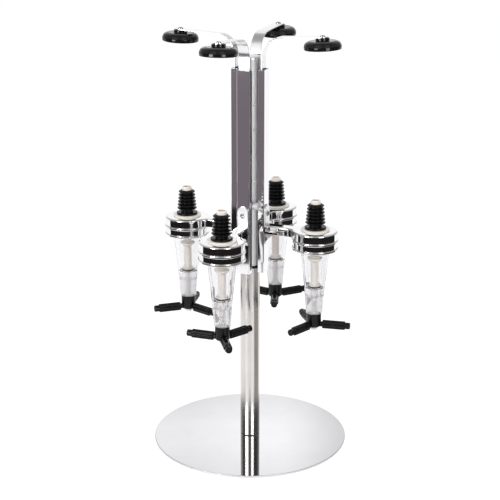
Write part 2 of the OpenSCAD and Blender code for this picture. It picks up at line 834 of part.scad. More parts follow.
// A hub that turns on the spindle, with three ribbed grips
module lever(k) {
    hub_chamfer = 2 * chamfer;
    color([0.08, 0.08, 0.09]) at_measure(k) rotate([0, 0, lever_turn[k - 1]]) difference() {
        union() {
            rod(hub_d, hub_foot + hub_chamfer, hub_top);
            translate([0, 0, hub_foot]) cylinder(d1 = hub_d - 2 * hub_chamfer, d2 = hub_d, h = hub_chamfer);
            for (a = [0, 120, 240]) rotate([0, 0, a]) lever_arm();
        }
        rod(hub_bore, hub_foot - over, hub_top + over);
    }
}

// One arm: a neck out of the hub, a grip with grooves along it, and a stepped tip
module lever_arm() {
    neck_d = 2 * grip_rise;
    grip_start = hub_d / 2 + grip_gap;
    grip_end = lever_reach - tip_len;
    radial_rod(neck_d, hub_bore, grip_end, grip_z);
    radial_rod(tip_d, grip_end - tip_len, lever_reach, grip_z);
    difference() {
        radial_rod(grip_d, grip_start, grip_end, grip_z);
        translate([0, 0, grip_z]) for (i = [0:grip_ribs - 1]) rotate([360 * (i + 0.5) / grip_ribs, 0, 0])
            radial_rod(grip_groove_d, grip_start - over, grip_end + over, grip_d / 2);
    }
}

base_plate();
base_pad();
pole();
pole_plug();
base_screw();
pole_bush();
mast();
column_tube();
column_bushes();
column_cap();
retaining_bolt();
bracket_screws();
retaining_rings();
caps();
stoppers();
for (k = stations) {
    channel(k);
    bracket(k);
    chamber(k);
    arm_strip(k);
    pad(k);
    pad_screw(k);
    arm_spring(k);
    spindle(k);
    seal(k);
    valve_spring(k);
    lever(k);
}
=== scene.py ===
"""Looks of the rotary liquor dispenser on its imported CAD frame: pieces, finishes, light and camera."""
import math

import bmesh
import bpy
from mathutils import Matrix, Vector
from mathutils.geometry import tessellate_polygon


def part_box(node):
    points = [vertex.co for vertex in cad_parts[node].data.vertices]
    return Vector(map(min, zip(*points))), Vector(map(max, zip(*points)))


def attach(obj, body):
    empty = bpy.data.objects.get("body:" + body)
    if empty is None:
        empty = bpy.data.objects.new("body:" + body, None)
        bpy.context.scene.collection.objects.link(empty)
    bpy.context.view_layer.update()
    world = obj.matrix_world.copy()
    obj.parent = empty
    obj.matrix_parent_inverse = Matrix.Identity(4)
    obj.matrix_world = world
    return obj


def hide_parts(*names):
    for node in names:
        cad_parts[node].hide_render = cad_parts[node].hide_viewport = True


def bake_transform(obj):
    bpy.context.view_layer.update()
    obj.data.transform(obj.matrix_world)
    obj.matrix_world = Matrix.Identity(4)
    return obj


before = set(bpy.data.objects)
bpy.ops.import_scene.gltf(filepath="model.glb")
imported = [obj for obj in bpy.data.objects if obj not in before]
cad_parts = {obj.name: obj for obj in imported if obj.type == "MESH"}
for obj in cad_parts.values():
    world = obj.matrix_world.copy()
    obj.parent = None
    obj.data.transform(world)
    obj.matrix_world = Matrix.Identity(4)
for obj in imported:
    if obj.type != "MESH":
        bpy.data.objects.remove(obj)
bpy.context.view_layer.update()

# Sizes are in millimetres, as in the part's source, and become metres where a mesh is made
MM = 0.001
STATIONS = (1, 2, 3, 4)

# Stand
plate_edge_r = 1.0
plate_rim = 1.01
pole_wall = 1.5
foot_groove = 0.9
foot_groove_h = 1.0
# Height up to which the pole's foot takes the dark rubber finish, as painted shade
painted_foot_shade_h = 1.1
foot_groove_top = 1.4

# Column and arms
channel_in_r = 16.0
channel_depth = 10.4
channel_w = 20.2
channel_wall = 1.0
channel_edge_r = 1.4
strip_w = 16.8
strip_t = 1.6
strip_show = 17.5
strip_tail_gap = 0.2
bend_r = 30.0
arm_rise = math.radians(3)
pad_r = 110.5
pad_d = 54.0
pad_h = 12.5
pad_rim_w = 5.0
pad_hollow = 1.6
pad_dome_w = 7.4
pad_dome_cut = 2.2
boss_d = 20.0
boss_h = 4.0
pad_screw_d = 4.2

# Measures
station_r = 104.5
ring_d = 67.0
ring_bore_d = 39.6
ring_foot = 337.2
ring_top = 350.2
ring_edge_r = 2.5
neck_w = 17.0
neck_fillet_r = 14.0
tab_t = 2.0
tab_screw_z = 367.2
tab_hole_r = 2.1
root_reach = 22.0
root_overlap = 4.0
collar_d = 69.6
collar_lip_h = 3.6
collar_waist = 1.6
chamber_d = 43.0
chamber_flange_d = 52.0
chamber_flange_t = 3.0
chamber_seat_d = 30.6
chamber_foot_d = 24.6
chamber_wall = 2.4
seat_z = 261.2
floor_z = 249.2
skirt_bore_d = 22.7
skirt_margin = 0.6
seat_margin = 0.05
seat_bore_d = 8.4
cap_d = 39.0
cap_flange_d = 42.6
cap_seat = 352.4
cap_taper_w = 1.0
cap_taper_h = 2.0
mouth_lip = 1.0
inlet_d = 15.0
inlet_bore_d = 10.5
stopper_d = 32.0
stopper_gap = 0.02
stopper_bevel_w = 1.2
stopper_bevel_h = 0.6
stopper_flange_h = 3.6
stopper_neck_h = 3.5
fin_low_d = 30.0
fin_top_d = 25.0
fin_count = 6
stopper_core_d = 19.0
mushroom_d = 22.0

# Levers and springs
lever_turn = (34, 10, 80, 41)
lever_reach = 55.0
hub_d = 21.8
hub_h = 21.4
hub_chamfer = 2.0
hub_bore_d = 8.1
grip_d = 13.0
grip_gap = 2.2
grip_ribs = 6
grip_groove_d = 2.9
grip_rise = 4.0
grip_ease = 1.0
tip_d = 10.0
tip_len = 7.5
tip_dish_r = 3.0
tip_dish_foot_r = 2.7
tip_dish_h = 0.6
arm_spring_r = 3.7
arm_spring_wire = 0.6
arm_spring_turns = 32
valve_spring_r = 4.7
valve_spring_wire = 0.8
valve_spring_turns = 8

# Camera, and the level directions that the studio is set out along
camera_azimuth = math.radians(22.8)
camera_elevation = math.radians(17.46)
camera_distance = 1.944
camera_aim = Vector((0, 0, 0.3064))
camera_lens = 92.4
camera_sensor = 36
towards = Vector((math.sin(camera_azimuth), -math.cos(camera_azimuth), 0))
across = Vector((math.cos(camera_azimuth), math.sin(camera_azimuth), 0))


def span(node):
    """Lowest and highest corner of a CAD node, in millimetres."""
    lo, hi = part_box(node)
    return [c / MM for c in lo], [c / MM for c in hi]


def station_angle(k):
    """Direction of a station: the first lies on -Y, and the rest follow anticlockwise."""
    return math.radians(90 * (k - 2))


def spun(points, angle):
    """Points turned about the Z axis."""
    c, s = math.cos(angle), math.sin(angle)
    return [(c * x - s * y, s * x + c * y, z) for x, y, z in points]


def moved(points, dx, dy, dz):
    """Points shifted along the axes."""
    return [(x + dx, y + dy, z + dz) for x, y, z in points]


def joined(*shapes):
    """Several (points, faces) as one."""
    points, faces = [], []
    for more_points, more_faces in shapes:
        first = len(points)
        points.extend(more_points)
        faces.extend([[i + first for i in face] for face in more_faces])
    return points, faces


def rounded(corners, steps=5):
    """A closed outline from (x, y, radius) corners, each corner rounded to its radius."""
    outline = []
    count = len(corners)
    for i, (x, y, r) in enumerate(corners):
        here = Vector((x, y))
        back = Vector(corners[i - 1][:2]) - here
        on = Vector(corners[(i + 1) % count][:2]) - here
        turn = back.angle(on)
        if r <= 0 or turn > math.radians(178):
            outline.append((x, y))
            continue
        reach = min(r / math.tan(turn / 2), 0.49 * back.length, 0.49 * on.length)
        r = reach * math.tan(turn / 2)
        start = here + back.normalized() * reach
        end = here + on.normalized() * reach
        middle = here + (back.normalized() + on.normalized()).normalized() * r / math.sin(turn / 2)
        a = (start - middle).to_tuple()
        sweep = (start - middle).angle_signed(end - middle)
        for j in range(steps + 1):
            t = -sweep * j / steps
            c, s = math.cos(t), math.sin(t)
            outline.append((middle.x + c * a[0] - s * a[1], middle.y + s * a[0] + c * a[1]))
    return outline


def lathe(profile, sides=96):
    """A closed (radius, height) profile turned round the Z axis."""
    points, faces, rings = [], [], []
    for r, z in profile:
        if r < 1e-6:
            rings.append([len(points)])
            points.append((0, 0, z))
            continue
        rings.append(list(range(len(points), len(points) + sides)))
        for j in range(sides):
            t = 2 * math.pi * j / sides
            points.append((r * math.cos(t), r * math.sin(t), z))
    for low, high in zip(rings, rings[1:] + rings[:1]):
        if len(low) == 1 and len(high) == 1:
            continue
        for j in range(sides):
            n = (j + 1) % sides
            if len(low) == 1:
                faces.append([low[0], high[n], high[j]])
            elif len(high) == 1:
                faces.append([low[j], low[n], high[0]])
            else:
                faces.append([low[j], low[n], high[n], high[j]])
    return points, faces


def loft(loops, closed_ends=True):
    """A skin over loops of equal point count, with flat ends."""
    points, faces = [], []
    count = len(loops[0])
    for loop in loops:
        points.extend(loop)
    for i in range(len(loops) - 1):
        for j in range(count):
            n = (j + 1) % count
            faces.append([i * count + j, i * count + n, (i + 1) * count + n, (i + 1) * count + j])
    if closed_ends:
        faces.append(list(range(count))[::-1])
        faces.append([(len(loops) - 1) * count + j for j in range(count)])
    return points, faces


def outward(outline):
    """Outward direction at each point of an anticlockwise outline."""
    directions = []
    for i, point in enumerate(outline):
        back = Vector(point) - Vector(outline[i - 1])
        on = Vector(outline[(i + 1) % len(outline)]) - Vector(point)
        normal = Vector((back.y, -back.x)).normalized() + Vector((on.y, -on.x)).normalized()
        directions.append(normal / max(normal.length_squared / 2, 0.5))
    return directions


def quarter(r, steps):
    """A quarter round: at each step, how far in it lies and how far from the end."""
    angles = [math.pi / 2 * j / steps for j in range(steps + 1)]
    return [(r * (1 - math.sin(t)), r * (1 - math.cos(t))) for t in angles]


def inset_loops(outline, layers):
    """An outline at each of the (inset, height) layers, drawn in by the inset."""
    directions = outward(outline)
    return [[(x - inset * d.x, y - inset * d.y, z) for (x, y), d in zip(outline, directions)]
            for inset, z in layers]


def plate(outline, z0, z1, low_r, high_r, hole=None, steps=5):
    """An outline raised from z0 to z1 with rounded lower and upper edges, round an upright hole."""
    layers = [(inset, z0 + rise) for inset, rise in quarter(low_r, steps)]
    layers += [(inset, z1 - rise) for rise, inset in quarter(high_r, steps)]
    loops = inset_loops(outline, layers)
    points, faces = loft(loops, closed_ends=False)
    count = len(outline)
    ends = [(0, loops[0], z0), ((len(loops) - 1) * count, loops[-1], z1)]
    hole_rows = []
    for first, loop, z in ends:
        index = [first + i for i in range(count)]
        rims = [[Vector(p) for p in loop]]
        if hole:
            row = list(range(len(points), len(points) + len(hole)))
            points.extend([(x, y, z) for x, y in hole])
            hole_rows.append(row)
            rims.append([Vector((x, y, z)) for x, y in hole])
            index += row
        faces.extend([[index[i] for i in face] for face in tessellate_polygon(rims)])
    if hole:
        low, high = hole_rows
        for j in range(len(hole)):
            n = (j + 1) % len(hole)
            faces.append([low[n], low[j], high[j], high[n]])
    return points, faces


def arc(x, y, r, start, end, steps):
    """Points on a circle from one angle to another, in degrees."""
    angles = [math.radians(start + (end - start) * j / steps) for j in range(steps + 1)]
    return [(x + r * math.cos(t), y + r * math.sin(t)) for t in angles]


def wire(path, d, sides=10):
    """A round wire along a path."""
    loops = []
    for i, point in enumerate(path):
        here = Vector(point)
        along = Vector(path[min(i + 1, len(path) - 1)]) - Vector(path[max(i - 1, 0)])
        along.normalize()
        side = along.cross(Vector((0, 0, 1)))
        side = side.normalized() if side.length > 1e-4 else Vector((1, 0, 0))
        up = side.cross(along)
        loops.append([tuple(here + d / 2 * (math.cos(t) * side + math.sin(t) * up))
                      for t in (2 * math.pi * j / sides for j in range(sides))])
    return loft(loops)


def soften(mesh, angle):
    """Corner normals weighted by face area, and sharp where faces meet at more than an angle."""
    limit = math.cos(math.radians(angle))
    around = [[] for _ in mesh.vertices]
    for face in mesh.polygons:
        for i in face.vertices:
            around[i].append((face.normal.copy(), face.area))
    normals = []
    for face in mesh.polygons:
        for i in face.vertices:
            total = Vector((0, 0, 0))
            for normal, area in around[i]:
                if normal.dot(face.normal) > limit:
                    total += normal * area
            normals.append(total.normalized())
    mesh.normals_split_custom_set(normals)


def piece(name, shape, finish, body, nodes=(), sharp=38):
    """Makes one piece of the object: its mesh, its finish and what it moves with, and hides the CAD nodes
    it replaces.
    """
    points, faces = shape
    mesh = bpy.data.meshes.new(name)
    mesh.from_pydata([Vector(p) * MM for p in points], [], faces)
    tidy = bmesh.new()
    tidy.from_mesh(mesh)
    bmesh.ops.recalc_face_normals(tidy, faces=tidy.faces)
    tidy.to_mesh(mesh)
    tidy.free()
    mesh.shade_smooth()
    if sharp:
        soften(mesh, sharp)
    mesh.materials.append(finish)
    made = bpy.data.objects.new(name, mesh)
    bpy.context.scene.collection.objects.link(made)
    if body:
        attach(made, body)
    if nodes:
        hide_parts(*nodes)
    return made


def four(shape):
    """A measure's shape at all four stations, as one."""
    points, faces = shape
    out = moved(points, station_r, 0, 0)
    return joined(*[(spun(out, station_angle(k)), faces) for k in STATIONS])


def at_measure(shape, k):
    """A measure's shape at one station."""
    points, faces = shape
    return spun(moved(points, station_r, 0, 0), station_angle(k)), faces


def at_station(shape, k):
    """A shape that is drawn along +X, turned to its station."""
    points, faces = shape
    return spun(points, station_angle(k)), faces


def faces_where(shape, test):
    """Numbers of the faces whose corners all pass a test on their radius and height."""
    points, faces = shape
    passed = [test(math.hypot(x, y), z) for x, y, z in points]
    return [i for i, face in enumerate(faces) if all(passed[j] for j in face)]


def second_finish(made, finish, chosen):
    """Gives another finish to the chosen faces of a piece."""
    made.data.materials.append(finish)
    for i in chosen:
        made.data.polygons[i].material_index = 1


# Finishes: noise gives each its clouds of colour, its marks and its gloss

# Most of a noise lies between these two values
noise_low = 0.3
noise_high = 0.7

# Repeats to the metre of the clouds, flow marks and grain
metal_clouds = 28
moulded_clouds = 60
clear_flow = 55
clear_grain = 700
even = (1, 1, 1)


def new_finish(name):
    """A new material with its nodes and its main shader."""
    made = bpy.data.materials.new(name)
    made.use_nodes = True
    tree = made.node_tree
    return made, tree, tree.nodes["Principled BSDF"]


def texture(tree, scale, stretch=even, detail=3):
    """Noise over the piece's own coordinates, in repeats to the metre, stretched along the axes."""
    place = tree.nodes.new("ShaderNodeTexCoord")
    turn = tree.nodes.new("ShaderNodeMapping")
    turn.inputs["Scale"].default_value = stretch
    noise = tree.nodes.new("ShaderNodeTexNoise")
    noise.inputs["Scale"].default_value = scale
    noise.inputs["Detail"].default_value = detail
    noise.inputs["Roughness"].default_value = 0.55
    tree.links.new(place.outputs["Object"], turn.inputs["Vector"])
    tree.links.new(turn.outputs["Vector"], noise.inputs["Vector"])
    return noise.outputs["Fac"]


def ranged(tree, value, low, high):
    """A texture's middle range spread from low to high."""
    spread = tree.nodes.new("ShaderNodeMapRange")
    spread.inputs["From Min"].default_value = noise_low
    spread.inputs["From Max"].default_value = noise_high
    spread.inputs["To Min"].default_value = low
    spread.inputs["To Max"].default_value = high
    tree.links.new(value, spread.inputs["Value"])
    return spread.outputs["Result"]


def tinted(tree, value, colour, shade):
    """A mix of two colours by a texture."""
    ramp = tree.nodes.new("ShaderNodeValToRGB")
    ramp.color_ramp.elements[0].position = noise_low
    ramp.color_ramp.elements[0].color = (*shade, 1)
    ramp.color_ramp.elements[1].position = noise_high
    ramp.color_ramp.elements[1].color = (*colour, 1)
    tree.links.new(value, ramp.inputs["Fac"])
    return ramp.outputs["Color"]


def bumped(tree, value, strength, depth):
    """A normal with a texture's fine relief."""
    bump = tree.nodes.new("ShaderNodeBump")
    bump.inputs["Strength"].default_value = strength
    bump.inputs["Distance"].default_value = depth
    tree.links.new(value, bump.inputs["Height"])
    return bump.outputs["Normal"]


def metal(name, colour, shade, rough, lines, stretch, depth, anisotropic=0.0):
    """Bare or plated metal: polishing lines, slight clouds in its colour and gloss."""
    made, tree, shader = new_finish(name)
    clouds = texture(tree, metal_clouds)
    marks = texture(tree, lines, stretch)
    tree.links.new(tinted(tree, clouds, colour, shade), shader.inputs["Base Color"])
    tree.links.new(ranged(tree, marks, rough[0], rough[1]), shader.inputs["Roughness"])
    tree.links.new(bumped(tree, marks, 0.5, depth), shader.inputs["Normal"])
    shader.inputs["Metallic"].default_value = 1.0
    if anisotropic:
        tangent = tree.nodes.new("ShaderNodeTangent")
        tangent.direction_type = "RADIAL"
        tangent.axis = "Z"
        tree.links.new(tangent.outputs["Tangent"], shader.inputs["Tangent"])
        shader.inputs["Anisotropic"].default_value = anisotropic
        shader.inputs["Anisotropic Rotation"].default_value = 0.25
    return made


def moulded(name, colour, shade, rough, grain, depth, ior=1.5):
    """Moulded plastic or rubber: fine surface grain, slight changes of colour and gloss."""
    made, tree, shader = new_finish(name)
    clouds = texture(tree, moulded_clouds)
    fine = texture(tree, grain, detail=5)
    tree.links.new(tinted(tree, clouds, colour, shade), shader.inputs["Base Color"])
    tree.links.new(ranged(tree, fine, rough[0], rough[1]), shader.inputs["Roughness"])
    tree.links.new(bumped(tree, fine, 0.4, depth), shader.inputs["Normal"])
    shader.inputs["IOR"].default_value = ior
    return made


def clear(name, colour, shade, rough, through=1.0):
    """Clear or milky moulded plastic with faint flow marks."""
    made, tree, shader = new_finish(name)
    flow = texture(tree, clear_flow, (1, 1, 0.35), detail=2)
    fine = texture(tree, clear_grain)
    tree.links.new(tinted(tree, flow, colour, shade), shader.inputs["Base Color"])
    tree.links.new(ranged(tree, fine, rough[0], rough[1]), shader.inputs["Roughness"])
    tree.links.new(bumped(tree, flow, 0.25, 0.0004), shader.inputs["Normal"])
    shader.inputs["Transmission Weight"].default_value = through
    shader.inputs["IOR"].default_value = 1.49
    return made


mirror_steel = metal("mirror_steel", (0.935, 0.93, 0.955), (0.905, 0.90, 0.925), (0.015, 0.035),
                     lines=900, stretch=even, depth=2e-7)
strip_steel = metal("strip_steel", (0.95, 0.95, 0.96), (0.92, 0.92, 0.93), (0.18, 0.25),
                    lines=600, stretch=(1, 1, 0.3), depth=1e-6)
pole_steel = metal("pole_steel", (0.82, 0.79, 0.765), (0.76, 0.735, 0.71), (0.18, 0.26),
                   lines=500, stretch=(1, 1, 24), depth=2e-6, anisotropic=0.8)
tube_steel = metal("tube_steel", (0.80, 0.80, 0.81), (0.75, 0.75, 0.76), (0.46, 0.54),
                   lines=420, stretch=(22, 22, 0.6), depth=3e-6)
channel_chrome = metal("channel_chrome", (0.965, 0.955, 0.97), (0.94, 0.93, 0.945), (0.03, 0.06),
                       lines=600, stretch=(1, 1, 0.4), depth=1e-6)
bright_chrome = metal("bright_chrome", (0.95, 0.95, 0.955), (0.92, 0.92, 0.925), (0.015, 0.04),
                      lines=500, stretch=even, depth=6e-7)
satin_chrome = metal("satin_chrome", (0.95, 0.95, 0.95), (0.92, 0.92, 0.92), (0.30, 0.40),
                     lines=900, stretch=(1, 1, 0.2), depth=3e-6)
blasted_chrome = metal("blasted_chrome", (0.95, 0.945, 0.965), (0.92, 0.915, 0.935), (0.58, 0.66),
                       lines=1500, stretch=even, depth=6e-6)
screw_steel = metal("screw_steel", (0.72, 0.72, 0.73), (0.62, 0.62, 0.63), (0.12, 0.24),
                    lines=1400, stretch=even, depth=4e-6)
wire_steel = metal("wire_steel", (0.66, 0.66, 0.67), (0.55, 0.55, 0.56), (0.18, 0.30),
                   lines=1600, stretch=even, depth=4e-6)
black_rubber = moulded("black_rubber", (0.006, 0.006, 0.007), (0.004, 0.004, 0.005), (0.22, 0.32),
                       grain=1500, depth=8e-6, ior=1.35)
pad_rubber = moulded("pad_rubber", (0.006, 0.006, 0.008), (0.004, 0.004, 0.005), (0.05, 0.09),
                     grain=1200, depth=2e-6, ior=1.4)
# Dark rubber of the base pad, also used on the pole's foot groove as painted shade
rubber_and_painted_shade = moulded("rubber_and_painted_shade", (0.03, 0.03, 0.03), (0.02, 0.02, 0.02), (0.6, 0.75),
                       grain=1800, depth=5e-5)
black_plastic = moulded("black_plastic", (0.006, 0.006, 0.007), (0.004, 0.004, 0.005), (0.05, 0.10),
                        grain=1300, depth=2e-6, ior=1.32)
cream_plastic = moulded("cream_plastic", (0.98, 0.925, 0.86), (0.955, 0.89, 0.81), (0.26, 0.36),
                        grain=1100, depth=6e-6)
white_plastic = moulded("white_plastic", (0.86, 0.85, 0.82), (0.81, 0.80, 0.77), (0.34, 0.44),
                        grain=1100, depth=8e-6)
clear_plastic = clear("clear_plastic", (0.990, 0.990, 0.998), (0.978, 0.978, 0.994), (0.005, 0.03))
milky_plastic = clear("milky_plastic", (0.985, 0.975, 1.0), (0.965, 0.955, 0.985), (0.03, 0.07),
                      through=0.72)

# Stand

base_lo, base_hi = span("base_plate")
base_r = base_hi[0]
base = lathe(rounded([
    (0, base_lo[2], 0), (base_r, base_lo[2], 0.5), (base_r, base_hi[2], plate_edge_r),
    (0, base_hi[2], 0)]), 256)
made = piece("base_plate_turned", base, mirror_steel, "stand", ["base_plate"])
second_finish(made, tube_steel, faces_where(base, lambda r, z: r > base_r - plate_rim))

pole_lo, pole_hi = span("pole")
pole_r = pole_hi[0]
pole_in_r = pole_r - pole_wall
groove_r = pole_r - foot_groove
pole = lathe(rounded([
    (pole_in_r, pole_lo[2], 0), (groove_r, pole_lo[2], 0), (groove_r, pole_lo[2] + foot_groove_h, 0.2),
    (pole_r, pole_lo[2] + foot_groove_top, 0.2), (pole_r, pole_hi[2], 0.4),
    (pole_in_r, pole_hi[2], 0)], 3), 160)
made = piece("pole_turned", pole, pole_steel, "stand", ["pole"])
# The groove at the pole's foot takes the dark rubber finish: painted shade standing in for the dark line
# where the pole meets the plate
second_finish(made, rubber_and_painted_shade, faces_where(pole, lambda r, z: z < pole_lo[2] + painted_foot_shade_h))

bush_lo, bush_hi = span("pole_bush")
mast_r = span("mast")[1][0]
piece("pole_bush_moulded", lathe(rounded([
    (mast_r, bush_lo[2], 0), (pole_in_r, bush_lo[2], 0.5), (pole_in_r, pole_hi[2], 0),
    (pole_r, pole_hi[2], 0.4), (pole_r, bush_hi[2], 0.6), (mast_r, bush_hi[2], 0)], 4), 128),
    black_plastic, "stand", ["pole_bush"])

# Column: the channels are rounded tubes with softened ends

channel_lo, channel_hi = span("channel_1")
channel_mid_r = channel_in_r + channel_depth / 2


def rounded_box(depth, width, r, steps=6):
    """The outline of a rounded rectangle about the middle."""
    x, y = depth / 2, width / 2
    return rounded([(x, -y, r), (x, y, r), (-x, y, r), (-x, -y, r)], steps)


def channel_shape(steps=3, end_r=0.3):
    """A rounded tube that stands on its foot, with its two ends softened."""
    inner_r = channel_edge_r * 0.35
    foot, top = channel_lo[2], channel_hi[2]
    edge = quarter(end_r, steps)
    layers = [(inset, foot + rise) for inset, rise in edge]
    layers += [(inset, top - rise) for inset, rise in edge[::-1]]
    outer = rounded_box(channel_depth, channel_w, channel_edge_r)
    inner = rounded_box(channel_depth - 2 * channel_wall, channel_w - 2 * channel_wall, inner_r)
    skins = inset_loops(outer, layers)
    skins.append([(x, y, top) for x, y in inner])
    skins.append([(x, y, foot) for x, y in inner])
    skins.append(skins[0])
    points, faces = loft(skins, closed_ends=False)
    last = len(points) - len(outer)
    faces = [[i - last if i >= last else i for i in face] for face in faces]
    return moved(points[:last], channel_mid_r, 0, 0), faces


for k in STATIONS:
    piece("channel_%d_drawn" % k, at_station(channel_shape(), k), channel_chrome, "head",
          ["channel_%d" % k])

# Small rivets down the tube between the channels
tube_r = span("column_tube")[1][0]
rivet_heights = (532, 494, 455, 417)
rivet_d = 3.4
rivet_h = 0.9
rivet_sunk = 0.6
rivet_dome = ((0.0, 1.0), (0.22, 0.93), (0.38, 0.68), (0.48, 0.32), (0.5, 0.0))


def rivet(z, angle):
    """A domed head on the tube, at a height and a direction."""
    profile = [(rivet_d * out, rivet_h * up) for out, up in rivet_dome]
    profile += [(rivet_d * 0.5, -rivet_sunk), (0, -rivet_sunk)]
    points, faces = lathe(profile, 20)
    points = [(tube_r + z1, y1, z - x1) for x1, y1, z1 in points]
    return spun(points, angle), faces


rivets = joined(*[rivet(z, math.radians(45 + 90 * k)) for z in rivet_heights for k in STATIONS])
piece("tube_rivets", rivets, bright_chrome, "head")

# Brackets: tab, root, neck and ring in one casting

channel_out_r = channel_in_r + channel_depth
tab_top = span("bracket_1")[1][2]
root_foot = span("bracket_1")[0][2]


def bracket_arm():
    """The neck and the ring, with a fillet on either side between them."""
    half = neck_w / 2
    ring_r = ring_d / 2
    fillet_y = half + neck_fillet_r
    fillet_x = station_r - math.sqrt((ring_r + neck_fillet_r) ** 2 - fillet_y ** 2)
    lean = math.degrees(math.atan2(fillet_y, station_r - fillet_x))
    outline = [(channel_out_r, half), (channel_out_r, -half)]
    outline += arc(fillet_x, -fillet_y, neck_fillet_r, 90, lean, 10)
    outline += arc(station_r, 0, ring_r, lean - 180, 180 - lean, 96)[1:-1]
    outline += arc(fillet_x, fillet_y, neck_fillet_r, -lean, -90, 10)
    hole = arc(station_r, 0, ring_bore_d / 2, 0, 360, 72)[:-1]
    return plate(outline, ring_foot, ring_top, 0.6, ring_edge_r, hole, 6)


def bracket_root():
    """The foot of the neck, hollowed to a quarter round below."""
    reach = root_reach - tab_t
    drop = ring_foot - root_foot
    x = channel_out_r
    curve = arc(x + root_reach, root_foot + drop - reach, reach, 90, 180, 24)
    curve = [p for p in curve if p[1] > root_foot]
    outline = [(x, ring_foot + root_overlap), (x, root_foot), (x + tab_t, root_foot)]
    outline += curve[::-1] + [(x + root_reach, ring_foot + root_overlap)]
    points, faces = plate(outline, -neck_w / 2, neck_w / 2, 0.7, 0.7, None, 3)
    return [(px, -pz, py) for px, py, pz in points], faces


def bracket_tab():
    """The upright tab with its round top and screw hole."""
    half = neck_w / 2
    outline = [(-half, root_foot), (half, root_foot)]
    outline += arc(0, tab_top - half, half, 0, 180, 32)
    hole = arc(0, tab_screw_z, tab_hole_r, 0, 360, 24)[:-1]
    points, faces = plate(outline, channel_out_r, channel_out_r + tab_t, 0.2, 0.6, hole, 4)
    return [(pz, px, py) for px, py, pz in points], faces


cast = joined(bracket_arm(), bracket_root())
bracket = joined(cast, bracket_tab())
tab_faces = range(len(cast[1]), len(bracket[1]))
for k in STATIONS:
    made = piece("bracket_%d_cast" % k, at_station(bracket, k), bright_chrome, "head",
                 ["bracket_%d" % k])
    second_finish(made, satin_chrome, tab_faces)

# Measures

collar_foot = span("retaining_rings")[0][2]
collar_r = collar_d / 2
waist_r = collar_r - collar_waist
chamber_r = chamber_d / 2
flange_r = chamber_flange_d / 2
flange_foot = ring_foot - chamber_flange_t
collar = lathe(rounded([
    (chamber_r, collar_foot, 0.4), (collar_r, collar_foot, 1.5),
    (collar_r, collar_foot + collar_lip_h, 1.5), (waist_r, collar_foot + collar_lip_h, 0.5),
    (waist_r, ring_foot - collar_lip_h, 0.5), (collar_r, ring_foot - collar_lip_h, 1.5),
    (collar_r, ring_foot, 1.5), (flange_r, ring_foot, 0.3),
    (flange_r, flange_foot, 0), (chamber_r, flange_foot, 0.3)], 6), 144)
piece("retaining_rings_turned", four(collar), bright_chrome, "head", ["retaining_rings"])

foot_z = span("chamber_1")[0][2]
seat_r = chamber_seat_d / 2
skirt_r = skirt_bore_d / 2
ring_bore_r = ring_bore_d / 2
chamber = lathe(rounded([
    (seat_bore_d / 2, floor_z, 0.5), (skirt_r, floor_z, 1.2), (skirt_r, foot_z, 0.4),
    (chamber_foot_d / 2, foot_z, 0.5), (seat_r, seat_z, 2.0), (chamber_r, collar_foot, 1.0),
    (chamber_r, flange_foot, 0), (flange_r, flange_foot, 0.3), (flange_r, ring_foot, 0.3),
    (ring_bore_r, ring_foot, 0.3), (ring_bore_r, collar_foot, 1.0),
    (seat_r - chamber_wall, seat_z, 1.5), (seat_bore_d / 2, seat_z, 0.6)], 5), 128)
skirt_faces = faces_where(chamber, lambda r, z: r > skirt_r + skirt_margin and z < seat_z + seat_margin)
for k in STATIONS:
    made = piece("chamber_%d_clear" % k, at_measure(chamber, k), clear_plastic, "head",
                 ["chamber_%d" % k])
    second_finish(made, milky_plastic, skirt_faces)

cap_lo, cap_hi = span("caps")
cap_r = cap_d / 2
inlet_r = inlet_d / 2
inlet_bore_r = inlet_bore_d / 2
mouth_r = mushroom_d / 2 - mouth_lip
mouth_h = 2 * (mouth_r - inlet_bore_r)
cap = lathe(rounded([
    (inlet_bore_r, cap_lo[2] + mouth_h, 1.0), (mouth_r, cap_lo[2], 0.5),
    (cap_r - cap_taper_w, cap_lo[2], 0.4), (cap_r, cap_lo[2] + cap_taper_h, 0.4), (cap_r, ring_top, 0),
    (cap_flange_d / 2, ring_top, 0.4), (cap_flange_d / 2, cap_seat, 0.8),
    (inlet_r, cap_seat, 0), (inlet_r, cap_hi[2], 1.4), (inlet_bore_r, cap_hi[2], 0.8)], 5), 96)
piece("caps_moulded", four(cap), cream_plastic, "head", ["caps"])

# Where a fin starts, is widest and ends, in parts of its pitch
fin_heights = (0.08, 0.42, 0.58, 0.92)


def stopper_shape():
    """A flange with a bevel, a neck, and fins that grow narrower upwards."""
    stopper_top = span("stoppers")[1][2]
    bore_r = inlet_r + stopper_gap
    core_r = stopper_core_d / 2
    wide_r = stopper_d / 2
    flange_top = cap_seat + stopper_flange_h
    fins_z = flange_top + stopper_neck_h
    pitch = (stopper_top - fins_z) / fin_count
    corners = [(bore_r, stopper_top, 0.3), (bore_r, cap_seat, 0), (wide_r, cap_seat, 0.3),
               (wide_r, flange_top - stopper_bevel_h, 0.8), (wide_r - stopper_bevel_w, flange_top, 0.6),
               (core_r, flange_top, 0.6)]
    for i in range(fin_count):
        z = fins_z + i * pitch
        r = (fin_low_d + (fin_top_d - fin_low_d) * i / (fin_count - 1)) / 2
        root, edge, edge_end, root_end = [z + part * pitch for part in fin_heights]
        corners += [(core_r, root, 0.6), (r, edge, 0.3), (r, edge_end, 0.3), (core_r, root_end, 0.6)]
    corners.append((core_r, stopper_top, 0.5))
    return lathe(rounded(corners, 3), 96)


piece("stoppers_moulded", four(stopper_shape()), black_rubber, "head", ["stoppers"])

# Arms

elbow_r = channel_mid_r + bend_r
elbow_z = channel_hi[2] + strip_show
arm_reach = elbow_r + (pad_r - elbow_r + bend_r * math.sin(arm_rise)) / math.cos(arm_rise)
strip_foot = elbow_z + bend_r - strip_t / 2
pad_foot = strip_foot - boss_h - pad_h


